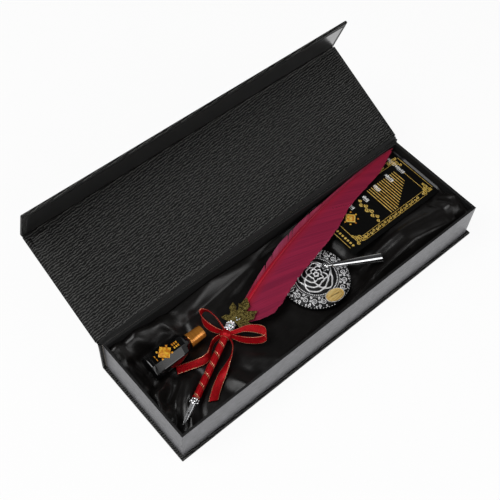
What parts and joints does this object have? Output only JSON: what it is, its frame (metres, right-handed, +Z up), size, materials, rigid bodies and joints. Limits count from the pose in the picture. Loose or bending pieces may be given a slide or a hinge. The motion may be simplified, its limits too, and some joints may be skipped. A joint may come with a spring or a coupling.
{
  "type": "quill pen gift box",
  "caption": "Hinged gift case with a magnet flap and a satin-lined tray that holds a feather quill pen with a ribbon bow, an ink bottle, a pen stand and a card.",
  "frame": {"origin": "centre of the box's underside, midway between its ends, on the surface it stands on", "axes": "+X along the box towards the feather's tip, +Y towards the lid's hinge, +Z up"},
  "size_m": [0.3356, 0.1976, 0.1225],
  "materials": {
    "greyboard": "matte raw greyboard",
    "case_paper": "black leatherette paper, wavy embossed",
    "case_liner": "black embossed liner paper",
    "tray_paper": "grey fine-textured paper",
    "tray_black": "black uncoated paper",
    "magnet": "nickel plated",
    "keeper": "plain steel",
    "foam": "black sponge",
    "satin": "black satin",
    "barrel": "lacquered",
    "ribbon": "red satin ribbon with metallic edges",
    "silver": "bright silver with stones",
    "nib_steel": "polished steel",
    "quill": "dyed quill",
    "feather": "dyed feather",
    "leaf_bronze": "antique bronze",
    "bottle": "black glossy glass",
    "ink": "black ink",
    "label": "printed label with a plain gold pattern",
    "wad": "soft sealing wad",
    "cap_gold": "polished copper-gold",
    "stand_silver": "antique silver plate over a zinc casting",
    "plaque_gold": "bare gold plate",
    "felt": "black felt",
    "holder_chrome": "mirror chrome",
    "card": "black card with a gold border"
  },
  "bodies": {
    "box": {"base_board": "greyboard", "base_wrap": "case_paper", "spine_board": "greyboard", "spine_wrap": "case_paper", "tray_floor": "greyboard", "tray_front_wall": "greyboard", "tray_back_wall": "greyboard", "tray_left_wall": "greyboard", "tray_right_wall": "greyboard", "tray_keepers": "keeper", "tray_wrap": "tray_paper", "tray_lining": "tray_black", "foam_pad": "foam", "satin_lining": "satin"},
    "lid": {"lid_board": "greyboard", "lid_wrap": "case_paper", "lid_liner": "case_liner"},
    "flap": {"flap_board": "greyboard", "flap_wrap": "case_paper", "flap_liner": "case_liner", "flap_magnets": "magnet"},
    "pen": {"pen_barrel": "barrel", "barrel_ribbon": "ribbon", "lower_collar": "silver", "nib_holder": "silver", "nib": "nib_steel", "upper_ferrule": "silver", "quill_shaft": "quill", "feather_vane_wide": "feather", "feather_vane_narrow": "feather", "maple_leaf": "leaf_bronze", "bow_knot": "ribbon", "bow_loop_left": "ribbon", "bow_loop_right": "ribbon", "bow_tail_left": "ribbon", "bow_tail_right": "ribbon"},
    "bottle": {"bottle_glass": "bottle", "bottle_ink": "ink", "bottle_label": "label"},
    "cap_seal": {"cap_wad": "wad"},
    "cap": {"bottle_cap": "cap_gold"},
    "stand": {"stand_base": "stand_silver", "stand_felt": "felt", "stand_rose": "stand_silver", "stand_bead_ring": "stand_silver", "stand_plaque": "plaque_gold", "holder_socket": "holder_chrome"},
    "holder": {"holder_ball": "holder_chrome", "pen_funnel": "holder_chrome"},
    "card": {"card": "card"}
  },
  "joints": [
    {"name": "lid_hinge", "type": "hinge", "parent": "box", "child": "lid", "pos_m": [0, 0.0515, 0.041], "axis": [-1, 0, 0], "range_deg": [-154, 41]},
    {"name": "flap_hinge", "type": "hinge", "parent": "lid", "child": "flap", "pos_m": [0, 0.14547, 0.08511], "axis": [-1, 0, 0], "range_deg": [-8.7, 81.3]},
    {"name": "stand_lift", "type": "slide", "parent": "box", "child": "stand", "axis": [0, 0, 1], "range_m": [0, 0.08]},
    {"name": "pen_lift", "type": "slide", "parent": "box", "child": "pen", "axis": [0, 0, 1], "range_m": [0, 0.16]},
    {"name": "card_lift", "type": "slide", "parent": "box", "child": "card", "axis": [0, 0, 1], "range_m": [0, 0.08]},
    {"name": "bottle_lift", "type": "slide", "parent": "box", "child": "bottle", "axis": [0, 0, 1], "range_m": [0, 0.1]},
    {"name": "cap_rise", "type": "slide", "parent": "bottle", "child": "cap_seal", "axis": [1, 0, 0], "range_m": [0, 0.003]},
    {"name": "cap_turn", "type": "hinge", "parent": "cap_seal", "child": "cap", "pos_m": [-0.1, 0.0144, 0.0277], "axis": [1, 0, 0], "range_deg": [0, 540]},
    {"name": "holder_tilt", "type": "hinge", "parent": "stand", "child": "holder", "pos_m": [0.02525, -0.005, 0.03], "axis": [-0.4695, -0.8829, 0], "range_deg": [0, 60]}
  ],
  "couplings": [
    {"joint": "pen_lift", "follows": "stand_lift", "ratio": 2},
    {"joint": "card_lift", "follows": "stand_lift", "ratio": 1},
    {"joint": "cap_turn", "follows": "cap_rise", "rad_per_m": 3141.6}
  ]
}
